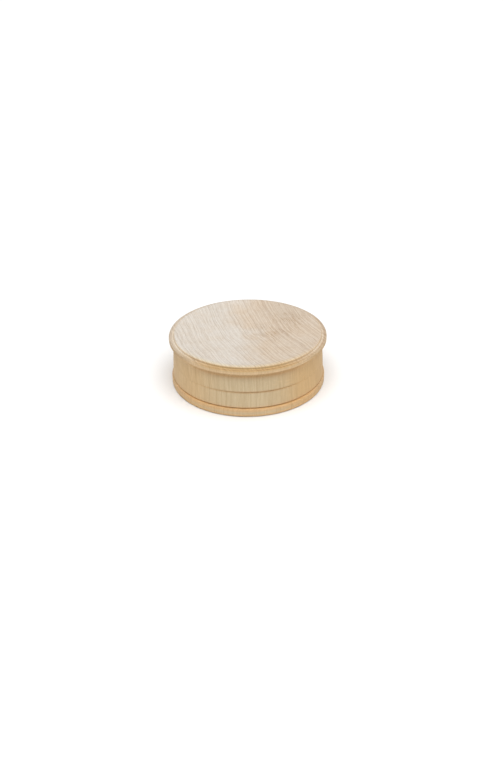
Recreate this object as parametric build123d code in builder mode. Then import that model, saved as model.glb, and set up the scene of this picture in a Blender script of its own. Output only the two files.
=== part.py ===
from build123d import *
import os

# A shallow turned wooden bowl with a lift-off lid, for go stones.
# Both pieces are solids of revolution about Z. The origin is the centre of the
# circle that the bowl stands on. Every size is in millimetres.

# Driving dimensions: heights are measured up from the surface the bowl stands on
total_height = 33.4  # the crest round the dished top of the lid
parting_height = 16.6  # where the lid's mouth meets the base's shoulder
lip_radius = 50.0  # widest part of the object, the lip of the lid
foot_radius = 49.3  # bead round the foot
wall_parting_radius = 47.9  # side wall at the parting line
cavity_radius = 43.4  # hollow of the base and of the lid
floor_height = 5.0  # inside floor of the bowl
ceiling_height = 27.7  # inside top of the lid

# Hollow: the corner between each piece's bore and its flat end
corner_round = 4.0

# Spigot, the thin rim of the base that enters the lid's rabbet
spigot_radius = 45.7
spigot_height = 4.0
spigot_chamfer = 0.4
mouth_round = 0.6  # inner edge of the spigot
lid_clearance = 0.15  # radial gap between the spigot and the rabbet
rabbet_headroom = 0.3  # gap over the spigot, so that the lid sits on the shoulder
parting_chamfer = 0.3  # on both pieces, so that the parting line is a fine V

# Underside: a shallow recess inside the ring that the bowl stands on
recess_height = 0.8
recess_radius = 43.0
recess_slope = 0.8

# Foot bead and the narrow V groove over it
foot_round = 1.3
bead_round = 0.9
bead_height = 5.5
groove_radius = 47.2
groove_height = 5.8
wall_foot_radius = 48.4
wall_foot_height = 6.25

# Top of the lid: a dish, then a rounded crest, a channel and the rounded lip
dish_height = 31.7  # at the centre
dish_radius = 42.6
dish_edge_height = 33.0
crest_radius = 46.0
crest_round = 1.0  # outer side
channel_round = 0.45  # from the crest's side down to the bottom of the channel
lip_foot_radius = 48.98  # where the channel runs into the lip's round
lip_foot_height = 32.19
lip_face_height = 31.45  # where the lip's round runs into its outer face
lip_edge_radius = 49.95  # lower edge of the lip, on its outer side
lip_edge_height = 30.0
cove_radius = 49.3  # lower edge of the lip, where the cove begins
cove_height = 29.7
waist_radius = 47.45  # where the cove runs into the side wall
waist_height = 24.6

# Heights and radii that follow from the ones above
spigot_top = parting_height + spigot_height
rabbet_radius = spigot_radius + lid_clearance
rabbet_height = spigot_top + rabbet_headroom
crest_side_radius = crest_radius + crest_round
crest_foot_height = total_height - crest_round
channel_height = crest_foot_height - channel_round
mouth_radius = wall_parting_radius - parting_chamfer

os.makedirs("parts", exist_ok=True)

# Base, outlined from the middle of its underside, up the outside and back down the hollow
with BuildPart() as base:
    with BuildSketch(Plane.XZ) as base_section:
        with BuildLine() as base_outline:
            # Recess and standing ring
            recess = Line((0, recess_height), (recess_radius, recess_height))
            recess_edge = Line(recess @ 1, (recess_radius + recess_slope, 0))
            ring = Line(recess_edge @ 1, (foot_radius - foot_round, 0))
            # Foot bead
            foot_edge = TangentArc(ring @ 1, (foot_radius, foot_round), tangent=ring % 1)
            foot_band = Line(foot_edge @ 1, (foot_radius, bead_height - bead_round))
            bead_end = (foot_radius - bead_round, bead_height)
            bead_edge = TangentArc(foot_band @ 1, bead_end, tangent=foot_band % 1)
            # Groove
            groove_floor = Line(bead_edge @ 1, (groove_radius, groove_height))
            groove_side = Line(groove_floor @ 1, (wall_foot_radius, wall_foot_height))
            # Side wall, shoulder and spigot
            wall_end = (wall_parting_radius, parting_height - parting_chamfer)
            side_wall = Line(groove_side @ 1, wall_end)
            wall_chamfer = Line(side_wall @ 1, (mouth_radius, parting_height))
            shoulder = Line(wall_chamfer @ 1, (spigot_radius, parting_height))
            spigot = Line(shoulder @ 1, (spigot_radius, spigot_top - spigot_chamfer))
            spigot_edge = Line(spigot @ 1, (spigot_radius - spigot_chamfer, spigot_top))
            rim = Line(spigot_edge @ 1, (cavity_radius + mouth_round, spigot_top))
            # Hollow
            mouth_end = (cavity_radius, spigot_top - mouth_round)
            mouth_edge = TangentArc(rim @ 1, mouth_end, tangent=rim % 1)
            bore = Line(mouth_edge @ 1, (cavity_radius, floor_height + corner_round))
            corner_end = (cavity_radius - corner_round, floor_height)
            corner = TangentArc(bore @ 1, corner_end, tangent=bore % 1)
            floor = Line(corner @ 1, (0, floor_height))
            Line(floor @ 1, recess @ 0)
        make_face()
    revolve(axis=Axis.Z)
base.part.label = "base"

# Lid, outlined from the middle of its top, down the outside and back up the hollow
with BuildPart() as lid:
    with BuildSketch(Plane.XZ) as lid_section:
        with BuildLine() as lid_outline:
            # Dish, level at its centre, and the crest round it
            dish_edge = (dish_radius, dish_edge_height)
            dish = TangentArc((0, dish_height), dish_edge, tangent=(1, 0))
            crest_top = (crest_radius, total_height)
            TangentArc(crest_top, dish_edge, tangent=(-1, 0))
            crest_end = (crest_side_radius, crest_foot_height)
            TangentArc(crest_top, crest_end, tangent=(1, 0))
            # Channel and lip
            channel_bottom = (crest_side_radius + channel_round, channel_height)
            channel_side = TangentArc(crest_end, channel_bottom, tangent=(0, -1))
            lip_foot = (lip_foot_radius, lip_foot_height)
            channel = TangentArc(channel_side @ 1, lip_foot, tangent=channel_side % 1)
            lip_end = (lip_radius, lip_face_height)
            lip = TangentArc(channel @ 1, lip_end, tangent=channel % 1)
            lip_band = Line(lip @ 1, (lip_edge_radius, lip_edge_height))
            cove_top = (cove_radius, cove_height)
            TangentArc(lip_band @ 1, cove_top, tangent=lip_band % 1)
            # Side wall, and the cove that runs from it out to the lip
            wall_start = (wall_parting_radius, parting_height + parting_chamfer)
            lid_wall = Line(wall_start, (waist_radius, waist_height))
            TangentArc(lid_wall @ 1, cove_top, tangent=lid_wall % 1)
            # Mouth and rabbet
            lid_chamfer = Line(wall_start, (mouth_radius, parting_height))
            mouth = Line(lid_chamfer @ 1, (rabbet_radius + parting_chamfer, parting_height))
            rabbet_edge = Line(mouth @ 1, (rabbet_radius, parting_height + parting_chamfer))
            rabbet = Line(rabbet_edge @ 1, (rabbet_radius, rabbet_height))
            ledge = Line(rabbet @ 1, (cavity_radius, rabbet_height))
            # Hollow
            lid_bore = Line(ledge @ 1, (cavity_radius, ceiling_height - corner_round))
            lid_corner_end = (cavity_radius - corner_round, ceiling_height)
            lid_corner = TangentArc(lid_bore @ 1, lid_corner_end, tangent=lid_bore % 1)
            ceiling = Line(lid_corner @ 1, (0, ceiling_height))
            Line(ceiling @ 1, dish @ 0)
        make_face()
    revolve(axis=Axis.Z)
lid.part.label = "lid"

export_step(base.part, "parts/base.step")
export_step(lid.part, "parts/lid.step")
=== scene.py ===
import math
from types import SimpleNamespace
import bpy
from mathutils import Euler, Matrix, Vector, noise


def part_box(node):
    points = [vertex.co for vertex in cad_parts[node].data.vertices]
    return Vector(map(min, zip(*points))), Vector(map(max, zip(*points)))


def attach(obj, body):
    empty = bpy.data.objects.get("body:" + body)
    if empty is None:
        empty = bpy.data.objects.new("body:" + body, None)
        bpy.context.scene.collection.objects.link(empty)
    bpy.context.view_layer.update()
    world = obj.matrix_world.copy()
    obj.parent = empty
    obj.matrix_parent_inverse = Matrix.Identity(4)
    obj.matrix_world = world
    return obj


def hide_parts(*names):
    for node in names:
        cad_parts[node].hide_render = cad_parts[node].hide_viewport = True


# A shallow turned wooden bowl with a lift-off lid, for go stones, on a white studio floor.
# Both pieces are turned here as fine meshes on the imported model's sizes. Lengths are in metres,
# apart from the wood's, which are in millimetres.

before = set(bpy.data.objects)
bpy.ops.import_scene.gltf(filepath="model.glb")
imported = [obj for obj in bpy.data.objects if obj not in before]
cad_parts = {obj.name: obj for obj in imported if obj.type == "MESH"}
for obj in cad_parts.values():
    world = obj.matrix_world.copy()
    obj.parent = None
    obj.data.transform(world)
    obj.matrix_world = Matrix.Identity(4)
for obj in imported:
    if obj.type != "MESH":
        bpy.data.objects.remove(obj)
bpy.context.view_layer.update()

MM = 0.001

# Sizes read from the frame
base_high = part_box("base")[1]
lid_low, lid_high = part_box("lid")
TOTAL_HEIGHT = lid_high.z
PARTING_HEIGHT = lid_low.z
SPIGOT_TOP = base_high.z
LIP_RADIUS = lid_high.x
FOOT_RADIUS = base_high.x

# Sizes that repeat the model's own
WALL_PARTING_RADIUS = 47.9 * MM
WALL_FOOT_RADIUS = 48.4 * MM
WALL_FOOT_HEIGHT = 6.25 * MM
GROOVE_RADIUS = 47.2 * MM
GROOVE_HEIGHT = 5.8 * MM
BEAD_HEIGHT = 5.5 * MM
FOOT_ROUND = 1.3 * MM
BEAD_ROUND = 0.9 * MM
RECESS_HEIGHT = 0.8 * MM
RECESS_RADIUS = 43.0 * MM
RECESS_SLOPE = 0.8 * MM
FLOOR_HEIGHT = 5.0 * MM
CEILING_HEIGHT = 27.7 * MM
CAVITY_RADIUS = 43.4 * MM
CORNER_ROUND = 4.0 * MM
SPIGOT_RADIUS = 45.7 * MM
SPIGOT_CHAMFER = 0.4 * MM
MOUTH_ROUND = 0.6 * MM
RABBET_RADIUS = 45.85 * MM
RABBET_HEIGHT = 20.9 * MM
PARTING_CHAMFER = 0.3 * MM
DISH_HEIGHT = 31.7 * MM
DISH_RADIUS = 42.6 * MM
DISH_EDGE_HEIGHT = 33.0 * MM
CREST_RADIUS = 46.0 * MM
CREST_ROUND = 1.0 * MM
CHANNEL_ROUND = 0.45 * MM
LIP_FOOT_RADIUS = 48.98 * MM
LIP_FOOT_HEIGHT = 32.19 * MM
LIP_FACE_HEIGHT = 31.45 * MM
LIP_EDGE_RADIUS = 49.95 * MM
LIP_EDGE_HEIGHT = 30.0 * MM
COVE_RADIUS = 49.3 * MM
COVE_HEIGHT = 29.7 * MM
WAIST_RADIUS = 47.45 * MM
WAIST_HEIGHT = 24.6 * MM
CREST_SIDE_RADIUS = CREST_RADIUS + CREST_ROUND
CREST_FOOT_HEIGHT = TOTAL_HEIGHT - CREST_ROUND
CHANNEL_RADIUS = CREST_SIDE_RADIUS + CHANNEL_ROUND
CHANNEL_HEIGHT = CREST_FOOT_HEIGHT - CHANNEL_ROUND

# Fineness of the turned meshes: vertices round a ring, then the steps from ring to ring
SEGMENTS = 320
UNDERSIDE_STEP = 2.0 * MM
STRAIGHT_STEP = 0.9 * MM
MARKED_STEP = 0.35 * MM  # where tool marks show
FLOOR_STEP = 1.1 * MARKED_STEP
CEILING_STEP = 1.5 * MARKED_STEP
COVE_STEP = 0.4 * MM
CREST_STEP = 0.3 * MM
LIP_STEP = 0.2 * MM
ARC_STEP = 0.16 * MM
NARROW_STEP = 0.15 * MM
CHAMFER_STEP = 0.1 * MM
ARC_TURN = math.radians(9)
DISH_RINGS = 60
CORNER_HOLD = 0.05 * MM  # rings this near a corner keep it crisp
TOUCHING = 0.01 * MM

# Traces of the making
MARK_PITCH = 1.3 * MM
MARK_DEPTH = 0.022 * MM
SWAY_DEPTH = 0.03 * MM
SWAY_SIZE = 9 * MM
SWAY_FREE_HEIGHT = 0.1 * MM  # below it the standing ring stays flat
GAP_BEARING = math.radians(-85)  # where the parting line is widest, and again opposite
GAP_LEAST = 0.2
GAP_SHARPNESS = 5
GAP_SHADE_REACH = 0.4 * MM
GAP_SHADE_FADE = 0.3  # makes the line's shade fade sooner than its gap


# ---------------------------------------------------------------- outlines

class Outline:
    """Half of a turned section, drawn in (radius, height) with straight strokes and tangent arcs."""

    def __init__(self, radius, height):
        self.points = [Vector((radius, height))]
        self.heading = Vector((1, 0))

    def line(self, radius, height, step=STRAIGHT_STEP):
        start, end = self.points[-1], Vector((radius, height))
        length = (end - start).length
        count = max(1, math.ceil(length / step))
        places = [i / count for i in range(1, count + 1)]
        if length > 4 * CORNER_HOLD:
            places = [CORNER_HOLD / length] + places[:-1] + [1 - CORNER_HOLD / length, 1]
        self.points += [start.lerp(end, place) for place in places]
        self.heading = (end - start).normalized()

    def arc(self, radius, height, heading=None, step=ARC_STEP):
        """The arc that leaves the last point along heading and ends at (radius, height)."""
        start, end = self.points[-1], Vector((radius, height))
        heading = heading or self.heading
        chord = end - start
        half = math.atan2(heading.x * chord.y - heading.y * chord.x, heading.dot(chord))
        reach = chord.length / (2 * math.sin(half))
        centre = start + Vector((-heading.y, heading.x)) * reach
        turns = max(2, math.ceil(abs(2 * half) / ARC_TURN))
        count = max(turns, math.ceil(abs(2 * half * reach) / step))
        spoke = start - centre
        for i in range(1, count + 1):
            self.points.append(centre + turned(spoke, 2 * half * i / count))
        self.heading = turned(heading, 2 * half)


def turned(vector, angle):
    """The vector, turned through the angle."""
    cosine, sine = math.cos(angle), math.sin(angle)
    return Vector((vector.x * cosine - vector.y * sine, vector.x * sine + vector.y * cosine))


def base_outline():
    """From the middle of the underside, out and up the outside, and back down the hollow."""
    o = Outline(0, RECESS_HEIGHT)
    # Recess, standing ring and foot bead
    o.line(RECESS_RADIUS, RECESS_HEIGHT, UNDERSIDE_STEP)
    o.line(RECESS_RADIUS + RECESS_SLOPE, 0)
    o.line(FOOT_RADIUS - FOOT_ROUND, 0)
    o.arc(FOOT_RADIUS, FOOT_ROUND)
    o.line(FOOT_RADIUS, BEAD_HEIGHT - BEAD_ROUND)
    o.arc(FOOT_RADIUS - BEAD_ROUND, BEAD_HEIGHT)
    # Groove, side wall, shoulder and spigot
    o.line(GROOVE_RADIUS, GROOVE_HEIGHT, NARROW_STEP)
    o.line(WALL_FOOT_RADIUS, WALL_FOOT_HEIGHT, NARROW_STEP)
    o.line(WALL_PARTING_RADIUS, PARTING_HEIGHT - PARTING_CHAMFER)
    o.line(WALL_PARTING_RADIUS - PARTING_CHAMFER, PARTING_HEIGHT, CHAMFER_STEP)
    o.line(SPIGOT_RADIUS, PARTING_HEIGHT)
    o.line(SPIGOT_RADIUS, SPIGOT_TOP - SPIGOT_CHAMFER)
    o.line(SPIGOT_RADIUS - SPIGOT_CHAMFER, SPIGOT_TOP, NARROW_STEP)
    o.line(CAVITY_RADIUS + MOUTH_ROUND, SPIGOT_TOP)
    # Hollow
    o.arc(CAVITY_RADIUS, SPIGOT_TOP - MOUTH_ROUND)
    o.line(CAVITY_RADIUS, FLOOR_HEIGHT + CORNER_ROUND, MARKED_STEP)
    o.arc(CAVITY_RADIUS - CORNER_ROUND, FLOOR_HEIGHT, step=MARKED_STEP)
    o.line(0, FLOOR_HEIGHT, FLOOR_STEP)
    return o.points


def lid_outline():
    """From the middle of the ceiling, down the hollow, up the outside and in over the dished top."""
    o = Outline(0, CEILING_HEIGHT)
    # Hollow, rabbet and mouth
    o.line(CAVITY_RADIUS - CORNER_ROUND, CEILING_HEIGHT, CEILING_STEP)
    o.arc(CAVITY_RADIUS, CEILING_HEIGHT - CORNER_ROUND, step=MARKED_STEP)
    o.line(CAVITY_RADIUS, RABBET_HEIGHT, MARKED_STEP)
    o.line(RABBET_RADIUS, RABBET_HEIGHT)
    o.line(RABBET_RADIUS, PARTING_HEIGHT + PARTING_CHAMFER)
    o.line(RABBET_RADIUS + PARTING_CHAMFER, PARTING_HEIGHT, CHAMFER_STEP)
    o.line(WALL_PARTING_RADIUS - PARTING_CHAMFER, PARTING_HEIGHT)
    # Side wall, cove and lip
    o.line(WALL_PARTING_RADIUS, PARTING_HEIGHT + PARTING_CHAMFER, CHAMFER_STEP)
    o.line(WAIST_RADIUS, WAIST_HEIGHT)
    o.arc(COVE_RADIUS, COVE_HEIGHT, step=COVE_STEP)
    o.line(LIP_EDGE_RADIUS, LIP_EDGE_HEIGHT, NARROW_STEP)
    o.line(LIP_RADIUS, LIP_FACE_HEIGHT, LIP_STEP)
    o.arc(LIP_FOOT_RADIUS, LIP_FOOT_HEIGHT, Vector((0, 1)))
    # Channel, crest and dish
    o.arc(CHANNEL_RADIUS, CHANNEL_HEIGHT)
    o.arc(CREST_SIDE_RADIUS, CREST_FOOT_HEIGHT, Vector((-1, 0)))
    o.arc(CREST_RADIUS, TOTAL_HEIGHT, Vector((0, 1)))
    o.arc(DISH_RADIUS, DISH_EDGE_HEIGHT, Vector((-1, 0)), step=CREST_STEP)
    rise = DISH_EDGE_HEIGHT - DISH_HEIGHT
    for i in range(1, DISH_RINGS + 1):
        radius = DISH_RADIUS * (1 - i / DISH_RINGS)
        o.points.append(Vector((radius, DISH_HEIGHT + rise * (radius / DISH_RADIUS) ** 2)))
    return o.points


# ---------------------------------------------------------------- turning

def parting_gap(angle):
    """How far the parting line stands open: fully at the front and back, and little at the sides."""
    lobes = abs(math.cos(angle - GAP_BEARING)) ** GAP_SHARPNESS
    return GAP_LEAST + (1 - GAP_LEAST) * lobes


def tool_marks(run, angle):
    """Depth of the spiral ridges that the gouge leaves in a hollow, run being the length of its path."""
    phase = 2 * math.pi * run / MARK_PITCH + angle
    return MARK_DEPTH * (0.5 + 0.5 * math.cos(phase))


def hand_sway(place):
    """Depth of the slight unevenness that hand sanding leaves on an outer surface."""
    return SWAY_DEPTH * (0.5 + 0.5 * noise.noise(place / SWAY_SIZE))


def nearness(point, places):
    """How near the point is to any of the places, (radius, height, reach, most), up to most."""
    shades = []
    for radius, height, reach, most in places:
        away = (point - Vector((radius, height))).length
        shades.append(most * math.exp(-((away / reach) ** 2)))
    return max(shades)


def in_hollow(point):
    """Whether the point is on a bore, the bowl's floor or the lid's ceiling, which show tool marks."""
    inside = point.x < CAVITY_RADIUS + TOUCHING
    return inside and FLOOR_HEIGHT - MM < point.y < CEILING_HEIGHT + MM


def on_parting_chamfer(point):
    """Whether the point is on one of the two chamfers that make the parting line."""
    beside = abs(point.y - PARTING_HEIGHT) < PARTING_CHAMFER + TOUCHING
    return beside and point.x > WALL_PARTING_RADIUS - PARTING_CHAMFER - TOUCHING


def turn(name, outline, shade_places, mouldings):
    """The piece of revolution of an outline that starts and ends on the axis.

    The vertices carry two shades for the wood: painted shade in the sharp inner corners, along the
    parting line and in the cove under the lip, and moulding on the narrow turned edges, where cut fibres
    at a slant look more orange and, on the lid, painted shade darkens the channel at the front.
    """
    rings = outline[1:-1]
    verts = [(0, 0, outline[0].y), (0, 0, outline[-1].y)]
    painted_shade_values = [0.0, 0.0]
    moulding_and_shade_values = [0.0, 0.0]
    run = 0.0
    for before, point, after in zip(outline, rings, outline[2:]):
        run += (point - before).length
        along = (after - before).normalized()
        outward = Vector((along.y, -along.x))
        hollow = in_hollow(point)
        on_chamfer = on_parting_chamfer(point)
        # Painted shade near the inner corners and in the cove under the lip
        painted_shade_here = nearness(point, shade_places)
        moulding_and_shade_here = nearness(point, mouldings)
        at_parting = nearness(point, [(WALL_PARTING_RADIUS, PARTING_HEIGHT, GAP_SHADE_REACH, 1)])
        for k in range(SEGMENTS):
            angle = 2 * math.pi * k / SEGMENTS
            radius, height = point
            gap = parting_gap(angle)
            depth = 0.0
            if hollow:
                depth = tool_marks(run, angle)
            elif height > SWAY_FREE_HEIGHT:
                depth = hand_sway(Vector((radius * math.cos(angle), radius * math.sin(angle), height)))
            if on_chamfer:
                radius = WALL_PARTING_RADIUS - (WALL_PARTING_RADIUS - radius) * gap
            radius -= outward.x * depth
            height -= outward.y * depth
            verts.append((radius * math.cos(angle), radius * math.sin(angle), height))
            # Painted shade along the parting line, as dark as its gap stands open
            gap_shade = at_parting * ((1 + GAP_SHADE_FADE) * gap - GAP_SHADE_FADE)
            painted_shade_values.append(max(painted_shade_here, gap_shade))
            moulding_and_shade_values.append(moulding_and_shade_here)
    mesh = bpy.data.meshes.new(name)
    mesh.from_pydata(verts, [], ring_faces(len(rings)))
    mesh.polygons.foreach_set("use_smooth", [True] * len(mesh.polygons))
    for label, shade in (("painted_corner_shade", painted_shade_values), ("moulding_and_shade", moulding_and_shade_values)):
        mesh.attributes.new(label, "FLOAT", "POINT").data.foreach_set("value", shade)
    mesh.update()
    return place_object(name, mesh)


def ring_faces(count):
    """Faces that join count rings, with a fan at each end to vertex 0 or 1, on the axis."""
    faces = []
    last = 2 + (count - 1) * SEGMENTS
    for k in range(SEGMENTS):
        after = (k + 1) % SEGMENTS
        faces.append((0, 2 + after, 2 + k))
        faces.append((1, last + k, last + after))
        for low in range(2, last, SEGMENTS):
            high = low + SEGMENTS
            faces.append((low + k, low + after, high + after, high + k))
    return faces


def place_object(name, data):
    made = bpy.data.objects.new(name, data)
    bpy.context.scene.collection.objects.link(made)
    return made


# ---------------------------------------------------------------- wood

class Graph:
    """A material under construction. Each call adds its nodes and returns an output socket."""

    def __init__(self, name):
        self.material = bpy.data.materials.new(name)
        self.material.use_nodes = True
        self.tree = self.material.node_tree
        self.shader = self.tree.nodes["Principled BSDF"]

    def node(self, kind, inputs=(), **settings):
        made = self.tree.nodes.new("ShaderNode" + kind)
        for key, value in settings.items():
            setattr(made, key, value)
        for key, value in dict(inputs).items():
            self.feed(made.inputs[key], value)
        return made

    def feed(self, socket, value):
        if isinstance(value, bpy.types.NodeSocket):
            self.tree.links.new(value, socket)
        else:
            socket.default_value = value

    def math(self, operation, a, b=0.0):
        return self.node("Math", {0: a, 1: b}, operation=operation).outputs[0]

    def add(self, a, b):
        return self.math("ADD", a, b)

    def times(self, *factors):
        product = factors[0]
        for factor in factors[1:]:
            product = self.math("MULTIPLY", product, factor)
        return product

    def between(self, low, high, amount):
        """low where amount is 0, and high where it is 1."""
        return self.add(low, self.times(amount, high - low))

    def sway(self, shade, swing):
        """A noise shade, 0 to 1, as a shift of up to half of swing either way."""
        return self.times(self.add(shade, -0.5), swing)

    def hypot(self, a, b):
        return self.math("SQRT", self.add(self.times(a, a), self.times(b, b)))

    def spread(self, vector, factors):
        return self.node("VectorMath", {0: vector, 1: factors}, operation="MULTIPLY").outputs[0]

    def shift(self, vector, offset):
        return self.node("VectorMath", {0: vector, 1: offset}, operation="ADD").outputs[0]

    def split(self, vector):
        return self.node("SeparateXYZ", {0: vector}).outputs

    def join(self, x, y, z):
        return self.node("CombineXYZ", {0: x, 1: y, 2: z}).outputs[0]

    def noise(self, vector, detail, roughness=0.5):
        inputs = {"Vector": vector, "Scale": 1.0, "Detail": detail, "Roughness": roughness}
        return self.node("TexNoise", inputs).outputs["Fac"]

    def grain(self, vector, size, detail, roughness=0.5):
        """Noise of the given size, across the trunk and up it."""
        across, upwards = size
        return self.noise(self.spread(vector, (1 / across, 1 / across, 1 / upwards)), detail, roughness)

    def line_noise(self, value, size, detail=2.0):
        inputs = {"W": self.times(value, 1 / size), "Scale": 1.0, "Detail": detail, "Roughness": 0.5}
        return self.node("TexNoise", inputs, noise_dimensions="1D").outputs["Fac"]

    def ease(self, value, span, to_low=0.0, to_high=1.0):
        """Smooth step from to_low, where value is at the span's low end, to to_high at its high end."""
        inputs = {
            "Value": value, "From Min": span[0], "From Max": span[1], "To Min": to_low, "To Max": to_high,
        }
        return self.node("MapRange", inputs, interpolation_type="SMOOTHSTEP").outputs["Result"]

    def oval(self, x, y, middle_x, middle_y, width, depth):
        """1 inside a soft oval about the middle, and 0 outside."""
        across = self.times(self.add(x, -middle_x), 1 / width)
        along = self.times(self.add(y, -middle_y), 1 / depth)
        return self.ease(self.hypot(across, along), (0.35, 1.15), 1.0, 0.0)

    def blend(self, amount, a, b, kind="MIX"):
        made = self.node("Mix", data_type="RGBA", blend_type=kind)
        self.feed(made.inputs["Factor"], amount)
        self.feed(made.inputs[6], a)
        self.feed(made.inputs[7], b)
        return made.outputs[2]

    def tint(self, amount, colour, by):
        return self.blend(amount, colour, by, "MULTIPLY")


def rgb(red, green, blue):
    return (red, green, blue, 1)


# Colours of the wood: on end grain, on upright walls, on the lip, and on the narrow turned edges at
# the front, beside it, and over the rest of the way round. Some hold painted light: the flanks' warmth is
# partly painted bounce light, the lip's front face is painted lighter, and the lid's edges at the front
# are darkened with painted shade
END_PALE = rgb(0.70, 0.655, 0.595)
END_WARM = rgb(0.66, 0.56, 0.45)
END_DEEP = rgb(0.62, 0.53, 0.43)
SIDE_PALE = rgb(0.64, 0.512, 0.323)
# Flank colours: partly the wood's tone, partly painted warm bounce light
SIDE_WARM_AND_BOUNCE = rgb(0.695, 0.498, 0.272)
SIDE_DEEP_AND_BOUNCE = rgb(0.68, 0.462, 0.228)
# The lip's front face, painted lighter
LIP_FACE_PAINTED_LIGHT = rgb(0.75, 0.55, 0.325)
LIP_BACK = rgb(0.60, 0.53, 0.45)
# The lid's edge colours: the front one is darkened with painted shade
LID_EDGES_AND_SHADE = [rgb(0.55, 0.40, 0.21), rgb(0.61, 0.485, 0.35), rgb(0.72, 0.63, 0.51)]
BASE_EDGES = [rgb(0.71, 0.47, 0.24), rgb(0.75, 0.49, 0.24), rgb(0.72, 0.49, 0.26)]

# Tints that multiply the colour under them
SLANT = rgb(0.97, 0.90, 0.76)
# Yellower rim at the front: partly the wood's tone, partly a painted highlight
RIM_TONE_AND_HIGHLIGHT = rgb(1.03, 0.98, 0.84)
# Painted shade that dulls the lip at the sides
LIP_LEFT_PAINTED_SHADE = rgb(0.81, 0.77, 0.72)
LIP_RIGHT_PAINTED_SHADE = rgb(0.87, 0.83, 0.75)
# Painted light on the crest's side at the sides and the back
CREST_SIDE_PAINTED_LIGHT = rgb(1.12, 1.16, 1.22)
# Painted shade for the corners, the parting line and the cove under the lip
PAINTED_SHADE_TINT = rgb(0.72, 0.52, 0.33)
LATE_GREY = rgb(0.72, 0.69, 0.66)
LATE_WARM = rgb(0.70, 0.62, 0.56)
FINE_GREY = rgb(0.855, 0.84, 0.825)
FINE_WARM = rgb(0.86, 0.82, 0.78)
DASH = rgb(0.76, 0.67, 0.58)
RAY = rgb(1.07, 1.06, 1.05)
FIBRE = rgb(0.87, 0.82, 0.775)
STREAK = rgb(0.89, 0.84, 0.77)

# Sizes of the figure, in millimetres: a pair is the size across the trunk and the size up it
RING_WIDTH = 2.8
RING_SPELL, RING_DRIFT = 9, 2.0  # rings come wider and narrower in spells
TRUNK_LEAN = (-0.03, 0.02)  # how far the pith moves in x and y, for each millimetre up
TRUNK_STRETCH = 0.06  # its waves are slower up the trunk than across it, by this factor
WAVE_SIZE, WAVE_SWING = 30, 4.5
RIPPLE_SIZE, RIPPLE_SWING = 7, 1.5
VIGOUR_SIZE = (16, 60)
MOTTLE_SIZE = (5, 25)
FINE_SIZE = 0.8
DASH_LENGTH, DASH_WIDTH, DASH_HEIGHT = 6, 0.6, 25
RAY_DENSITY, RAY_LENGTH, RAY_HEIGHT = 3.75, 7, 1.3  # the density is per millimetre round the pith
FIBRE_SIZE = (0.5, 22)
STREAK_SIZE = (1.4, 30)
DRIFT_SIZE, DRIFT_SWING = (24, 60), 50.0
CLOUD_SIZE = (11, 30)

# Spans over which the colour changes, in millimetres, named after what they are measured along: x to
# the right, y from -50 at the front to 50 at the back, z up, and R out from the axis
HEART_X = (-9.0, 14.0)
WALL_FRONT_Y = (-49.0, -34.0)
WALL_RIGHT_X = (-20.0, 30.0)
LIP_FACE_R = (49.35, 49.8)
LIP_FACE_Y = (-40.0, -10.0)
EDGE_FRONT_Y = (-46.0, -34.0)
EDGE_SIDE_Y = (-36.0, -20.0)
RIM_R = (42.5, 46.3)
RIM_Y = (-44.0, -16.0)
UPPER_Z = (27.0, 29.0)
CREST_SIDE_FROM_R = (46.3, 46.8)
CREST_SIDE_TO_R = (47.1, 47.6)
CREST_SIDE_Y = (-38.0, -24.0)
CREST_SIDE_X = (-10.0, 30.0)
LIP_R = (47.3, 48.7)
LIP_SIDE_Y = (-40.0, -28.0)
LIP_RIGHT_X = (-20.0, 35.0)
LIP_BACK_Y = (-20.0, 12.0)
LIP_TOP_Z = (30.2, 31.2)
PAINTED_SHADE_FRONT_Y = (-46.0, -30.0)
PAINTED_SHADE_RIGHT_X = (38.0, 46.0)

# Spans of level, which is 0 on an upright wall and 1 on a level face
END_GRAIN = (0.35, 0.95)
SLANT_FROM, SLANT_TO = (0.15, 0.6), (0.6, 0.985)
RIM_LEVEL = (0.4, 0.9)
LIP_BACK_LEVEL = (0.4, 0.8)


def surroundings(g, seed):
    """Where on the piece a point is, in millimetres, how level it is, and its two vertex shades."""
    coordinates = g.node("TexCoord").outputs
    place = g.spread(coordinates["Object"], (1 / MM, 1 / MM, 1 / MM))
    x, y, z = g.split(place)
    level = g.math("ABSOLUTE", g.split(coordinates["Normal"])[2])
    return SimpleNamespace(
        x=x,
        y=y,
        z=z,
        radius=g.hypot(x, y),
        level=level,
        end_grain=g.ease(level, END_GRAIN),
        moved=g.shift(place, (seed, seed * 0.7, seed * 0.4)),
        painted_corner_shade=g.node("Attribute", attribute_name="painted_corner_shade").outputs["Fac"],
        moulding_and_shade=g.node("Attribute", attribute_name="moulding_and_shade").outputs["Fac"],
    )


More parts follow.
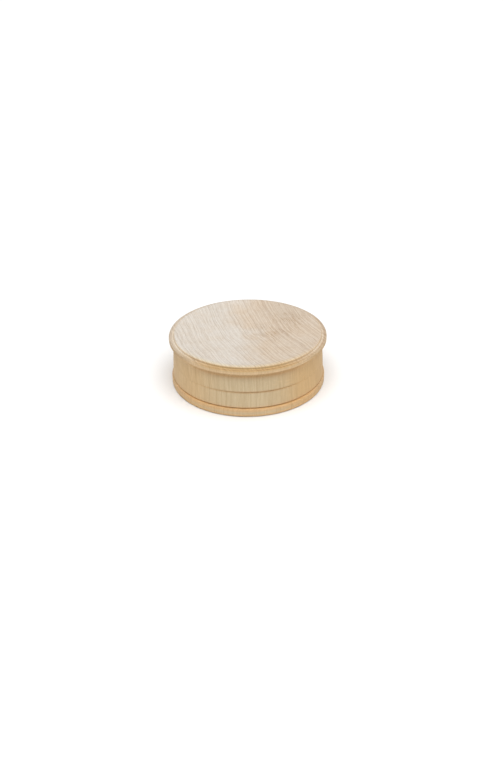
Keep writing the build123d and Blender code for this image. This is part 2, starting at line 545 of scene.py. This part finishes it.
def figure(g, at, pith, spots):
    """The wood's figure, each part of it between 0 and 1, about a pith in plan."""
    # Distance from the pith, with the slow waves of a real trunk, and the way round it
    trunk = g.spread(at.moved, (1, 1, TRUNK_STRETCH))
    wave = g.grain(trunk, (WAVE_SIZE, WAVE_SIZE), 1.0)
    ripple = g.grain(trunk, (RIPPLE_SIZE, RIPPLE_SIZE), 2.0)
    from_pith_x = g.add(at.x, g.add(g.times(at.z, -TRUNK_LEAN[0]), -pith[0]))
    from_pith_y = g.add(at.y, g.add(g.times(at.z, -TRUNK_LEAN[1]), -pith[1]))
    reach = g.hypot(from_pith_x, from_pith_y)
    reach = g.add(reach, g.sway(wave, WAVE_SWING))
    reach = g.add(reach, g.sway(ripple, RIPPLE_SWING))
    along = g.times(g.math("ARCTAN2", from_pith_y, from_pith_x), math.hypot(*pith))

    # Growth rings: each darkens slowly to a thin latewood line and then ends sharply
    spells = g.times(g.line_noise(reach, RING_SPELL), RING_DRIFT)
    season = g.math("FRACT", g.add(g.times(reach, 1 / RING_WIDTH), spells))
    late = g.times(g.math("POWER", season, 4.0), g.ease(season, (0.93, 1.0), 1.0, 0.0))

    # Darker figure comes in mottled patches
    patch = 0.0
    for spot in spots:
        patch = g.math("MAXIMUM", patch, g.oval(at.x, at.y, *spot))
    patch = g.times(patch, g.ease(g.grain(at.moved, MOTTLE_SIZE, 2.0), (0.3, 0.6), 0.25, 1.0))

    # Short dark dashes lie along the rings, and thin pale rays run out from the pith
    dash_across = g.times(reach, 1 / DASH_WIDTH)
    dash_place = g.join(g.times(along, 1 / DASH_LENGTH), dash_across, g.times(at.z, 1 / DASH_HEIGHT))
    ray_outward = g.times(reach, 1 / RAY_LENGTH)
    ray_place = g.join(g.times(along, RAY_DENSITY), ray_outward, g.times(at.z, 1 / RAY_HEIGHT))
    return SimpleNamespace(
        late=late,
        vigour=g.ease(g.grain(at.moved, VIGOUR_SIZE, 1.0), (0.35, 0.65), 0.5, 1.0),
        fine=g.ease(g.line_noise(reach, FINE_SIZE, 1.0), (0.48, 0.6)),
        dashes=g.ease(g.noise(dash_place, 1.0), (0.5, 0.66)),
        patch=patch,
        rays=g.ease(g.noise(ray_place, 1.0), (0.54, 0.68)),
        # Fibres run upright: fine specks on end grain and streaks down the side
        fibre=g.grain(at.moved, FIBRE_SIZE, 2.0, 0.6),
        streak=g.grain(at.moved, STREAK_SIZE, 2.0, 0.6),
    )


def heartwood(g, at):
    """0 in the pale sapwood at the left and 1 in the warmer heartwood, with a wandering border."""
    across = g.add(at.x, g.times(at.y, 0.15))
    across = g.add(across, g.sway(g.grain(at.moved, DRIFT_SIZE, 2.0), DRIFT_SWING))
    cloud = g.ease(g.grain(at.moved, CLOUD_SIZE, 3.0), (0.35, 0.65))
    return g.add(g.times(g.ease(across, HEART_X), 0.8), g.times(cloud, 0.2))


def bare_colour(g, at, heart, deep, edge_tones_and_shade):
    """The wood's colour before its figure: end grain, walls, turned edges, rim, crest and lip, some with
    painted light and shade.
    """
    end = g.blend(heart, END_PALE, END_WARM)
    end = g.blend(g.oval(at.x, at.y, *deep), end, END_DEEP)
    # Walls are paler at the front and warmer on the flanks: partly the wood's tone, partly painted warm
    # bounce light
    flank_with_bounce = g.blend(g.ease(at.x, WALL_RIGHT_X), SIDE_WARM_AND_BOUNCE, SIDE_DEEP_AND_BOUNCE)
    side = g.blend(g.ease(at.y, WALL_FRONT_Y), SIDE_PALE, flank_with_bounce)
    # The lip's outer face is painted lighter at the front, against the painted shade of the cove below it
    lip_face_lit = g.times(g.ease(at.radius, LIP_FACE_R), g.ease(at.y, LIP_FACE_Y, 1.0, 0.0))
    side = g.blend(lip_face_lit, side, LIP_FACE_PAINTED_LIGHT)
    colour = g.blend(at.end_grain, side, end)

    # The turned edges' colour changes round the bowl: on the lid the darker front is painted shade in the
    # channel, over the slant-cut fibres' orange
    edge = g.blend(g.ease(at.y, EDGE_FRONT_Y), edge_tones_and_shade[0], edge_tones_and_shade[1])
    edge = g.blend(g.ease(at.y, EDGE_SIDE_Y), edge, edge_tones_and_shade[2])
    colour = g.blend(at.moulding_and_shade, colour, edge)
    slant = g.times(g.ease(at.level, SLANT_FROM), g.ease(at.level, SLANT_TO, 1.0, 0.0))
    colour = g.tint(g.times(slant, g.between(1, 0, at.moulding_and_shade)), colour, SLANT)
    # The dish's rim is yellower towards the front: partly the wood's tone at the crest, partly a painted
    # highlight
    rim_tone_and_highlight = g.times(g.ease(at.radius, RIM_R), g.ease(at.level, RIM_LEVEL), g.ease(at.y, RIM_Y, 1.0, 0.0))
    colour = g.tint(rim_tone_and_highlight, colour, RIM_TONE_AND_HIGHLIGHT)

    # At the sides and the back the crest's side is painted lighter and the lip painted darker, so that
    # the shaded line between them fades, and the lip's top is nearer to the end grain's colour at the
    # back
    upper = g.ease(at.z, UPPER_Z)
    crest_painted_light = g.times(g.ease(at.radius, CREST_SIDE_FROM_R), g.ease(at.radius, CREST_SIDE_TO_R, 1.0, 0.0))
    crest_painted_light = g.times(crest_painted_light, upper, g.ease(at.y, CREST_SIDE_Y), g.ease(at.x, CREST_SIDE_X, 1.0, 0.45))
    colour = g.tint(crest_painted_light, colour, CREST_SIDE_PAINTED_LIGHT)
    lip = g.times(g.ease(at.radius, LIP_R), upper)
    lip_painted_shade = g.blend(g.ease(at.x, LIP_RIGHT_X), LIP_LEFT_PAINTED_SHADE, LIP_RIGHT_PAINTED_SHADE)
    colour = g.tint(g.times(lip, g.ease(at.y, LIP_SIDE_Y)), colour, lip_painted_shade)
    lip_top = g.times(g.ease(at.level, LIP_BACK_LEVEL), g.ease(at.z, LIP_TOP_Z))
    return g.blend(g.times(lip, lip_top, g.ease(at.y, LIP_BACK_Y, 0.0, 0.75)), colour, LIP_BACK)


def wood(name, pith, seed, spots, deep, edge_tones_and_shade):
    """Pale maple with upright fibres: growth rings about the pith, rays, fibres and warm patches.

    pith is the tree's centre in plan, spots are (x, y, width, depth) patches of darker figure, deep
    is one broad darker patch of the same kind, all in millimetres. edge_tones_and_shade are the colours
    of the narrow turned edges at the front, beside it, and over the rest of the way round; on the lid the
    front one holds painted shade.
    """
    g = Graph(name)
    at = surroundings(g, seed)
    grain = figure(g, at, pith, spots)
    heart = heartwood(g, at)
    colour = bare_colour(g, at, heart, deep, edge_tones_and_shade)

    # Rings, fine lines and dashes show most on end grain and in the patches
    warmth = g.math("MAXIMUM", heart, g.between(1, 0, at.end_grain))
    late = g.times(grain.late, grain.vigour)
    late = g.times(late, g.between(0.75, 1.25, grain.patch), g.between(0.15, 1, at.end_grain))
    colour = g.tint(late, colour, g.blend(warmth, LATE_GREY, LATE_WARM))
    fine = g.times(grain.fine, g.between(0.5, 1, at.end_grain), g.between(0.7, 1.2, grain.patch))
    colour = g.tint(fine, colour, g.blend(warmth, FINE_GREY, FINE_WARM))
    dashes = g.times(grain.dashes, g.between(0.4, 1, at.end_grain), g.between(0.3, 0.8, grain.patch))
    colour = g.tint(dashes, colour, DASH)
    colour = g.tint(g.times(grain.patch, 0.3), colour, STREAK)
    colour = g.tint(g.times(grain.rays, 0.8), colour, RAY)
    colour = g.tint(g.ease(grain.fibre, (0.35, 0.7), 0.0, 0.5), colour, FIBRE)
    colour = g.tint(g.ease(grain.streak, (0.4, 0.68), 0.0, 0.35), colour, STREAK)

    # Painted shade in the corners, along the parting line and under the lip: darkest at the front, half
    # as dark at the far right, and faint elsewhere
    shade_front = g.ease(at.y, PAINTED_SHADE_FRONT_Y, 1.0, 0.1)
    shade_right = g.ease(at.x, PAINTED_SHADE_RIGHT_X, 0.0, 0.5)
    painted_corner_shade = g.times(at.painted_corner_shade, g.math("MAXIMUM", shade_front, shade_right))
    g.feed(g.shader.inputs["Base Color"], g.tint(painted_corner_shade, colour, PAINTED_SHADE_TINT))

    rough = g.add(0.56, g.times(g.add(grain.fibre, grain.late), 0.07))
    g.feed(g.shader.inputs["Roughness"], rough)
    g.shader.inputs["Specular IOR Level"].default_value = 0.3
    height = g.add(g.times(grain.fibre, 0.6), g.times(grain.late, -0.35))
    height = g.add(height, g.times(grain.rays, 0.2))
    bump = g.node("Bump", {"Strength": 0.35, "Distance": 0.06 * MM, "Height": height})
    g.feed(g.shader.inputs["Normal"], bump.outputs["Normal"])
    return g.material


# ---------------------------------------------------------------- the two pieces

# Places of painted shade, and of the turned edges' colour, as (radius, height, reach, greatest shade)
# Painted shade in the groove above the foot bead
BASE_PAINTED_SHADE = [(GROOVE_RADIUS, GROOVE_HEIGHT, 0.45 * MM, 1)]
BASE_MOULDINGS = [
    (FOOT_RADIUS - BEAD_ROUND, BEAD_HEIGHT, 1.2 * MM, 1),
    (FOOT_RADIUS, BEAD_HEIGHT - BEAD_ROUND, 1.2 * MM, 1),
    (FOOT_RADIUS, FOOT_ROUND, 0.8 * MM, 1),
]
# Painted shade in the channel, at the lip's foot and in the cove under the lip's overhang
LID_PAINTED_SHADE = [
    (CREST_SIDE_RADIUS + 0.2 * MM, CHANNEL_HEIGHT + 0.4 * MM, 0.8 * MM, 0.15),
    (LIP_FOOT_RADIUS - 0.1 * MM, LIP_FOOT_HEIGHT, 0.8 * MM, 0.8),
    (COVE_RADIUS - 1.1 * MM, COVE_HEIGHT - 2.1 * MM, 2.2 * MM, 0.72),
]
# The lid's mouldings: their colour at the front is painted shade
LID_MOULDINGS = [
    (CREST_SIDE_RADIUS, CREST_FOOT_HEIGHT, 0.8 * MM, 0.8),
    (CHANNEL_RADIUS, CHANNEL_HEIGHT, 1.0 * MM, 1),
    (LIP_FOOT_RADIUS + 0.5 * MM, LIP_FOOT_HEIGHT - 0.1 * MM, 0.9 * MM, 0.9),
]

base_piece = turn("bowl_base", base_outline(), BASE_PAINTED_SHADE, BASE_MOULDINGS)
lid_piece = turn("bowl_lid", lid_outline(), LID_PAINTED_SHADE, LID_MOULDINGS)
base_wood = wood(
    "base_maple",
    pith=(-70, 150),
    seed=31.0,
    spots=[(-14, 22, 15, 8)],
    deep=(-20, -24, 20, 14),
    edge_tones_and_shade=BASE_EDGES,
)
lid_wood = wood(
    "lid_maple",
    pith=(230, 85),
    seed=7.0,
    spots=[(13, 0, 17, 14), (27, 15, 13, 15)],
    deep=(30, 32, 24, 20),
    edge_tones_and_shade=LID_EDGES_AND_SHADE,
)
for piece, maple, node, body, slot in (
    (base_piece, base_wood, "base", "bowl", "base_wood"),
    (lid_piece, lid_wood, "lid", "cover", "lid_wood"),
):
    piece.data.materials.append(maple)
    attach(piece, body)
    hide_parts(node)


# ---------------------------------------------------------------- studio

FLOOR_HALF = 6  # metres
SKY_STRENGTH = 0.28

SUN_STRENGTH = 3.05
SUN_WIDTH = math.radians(66)  # a wide disc of sky, for soft shadows
SUN_LEAN = math.radians(14)  # from overhead
SUN_BEARING = math.radians(12)

SENSOR_WIDTH = 36  # millimetres, as is the lens
LENS = 39.84375
CAMERA_PLACE = (2.34 * MM, -480.6 * MM, 278.8 * MM)
CAMERA_DIP = math.radians(30.63)
CAMERA_ROLL = math.radians(0.70)

floor_mesh = bpy.data.meshes.new("studio_floor")
floor_corners = [(FLOOR_HALF * x, FLOOR_HALF * y, 0) for x, y in ((-1, -1), (1, -1), (1, 1), (-1, 1))]
floor_mesh.from_pydata(floor_corners, [], [(0, 1, 2, 3)])
studio_floor = place_object("studio_floor", floor_mesh)
paper = bpy.data.materials.new("white_paper")
paper.use_nodes = True
paper_shader = paper.node_tree.nodes["Principled BSDF"]
paper_shader.inputs["Base Color"].default_value = rgb(0.9, 0.9, 0.9)
paper_shader.inputs["Roughness"].default_value = 0.8
floor_mesh.materials.append(paper)

world = bpy.data.worlds.new("studio")
bpy.context.scene.world = world
world.use_nodes = True
sky = world.node_tree.nodes["Background"]
sky.inputs["Color"].default_value = rgb(1, 1, 1)
sky.inputs["Strength"].default_value = SKY_STRENGTH

sun = bpy.data.lights.new("overhead", "SUN")
sun.energy = SUN_STRENGTH
sun.angle = SUN_WIDTH
place_object("overhead", sun).rotation_euler = (SUN_LEAN, 0, SUN_BEARING)

camera_data = bpy.data.cameras.new("camera")
camera_data.sensor_width = SENSOR_WIDTH
camera_data.lens = LENS
camera = place_object("camera", camera_data)
camera.location = CAMERA_PLACE
pitch = Euler((math.pi / 2 - CAMERA_DIP, 0, 0)).to_matrix()
camera.rotation_euler = (pitch @ Matrix.Rotation(-CAMERA_ROLL, 3, "Z")).to_euler()
bpy.context.scene.camera = camera
bpy.context.scene.view_settings.view_transform = "Standard"
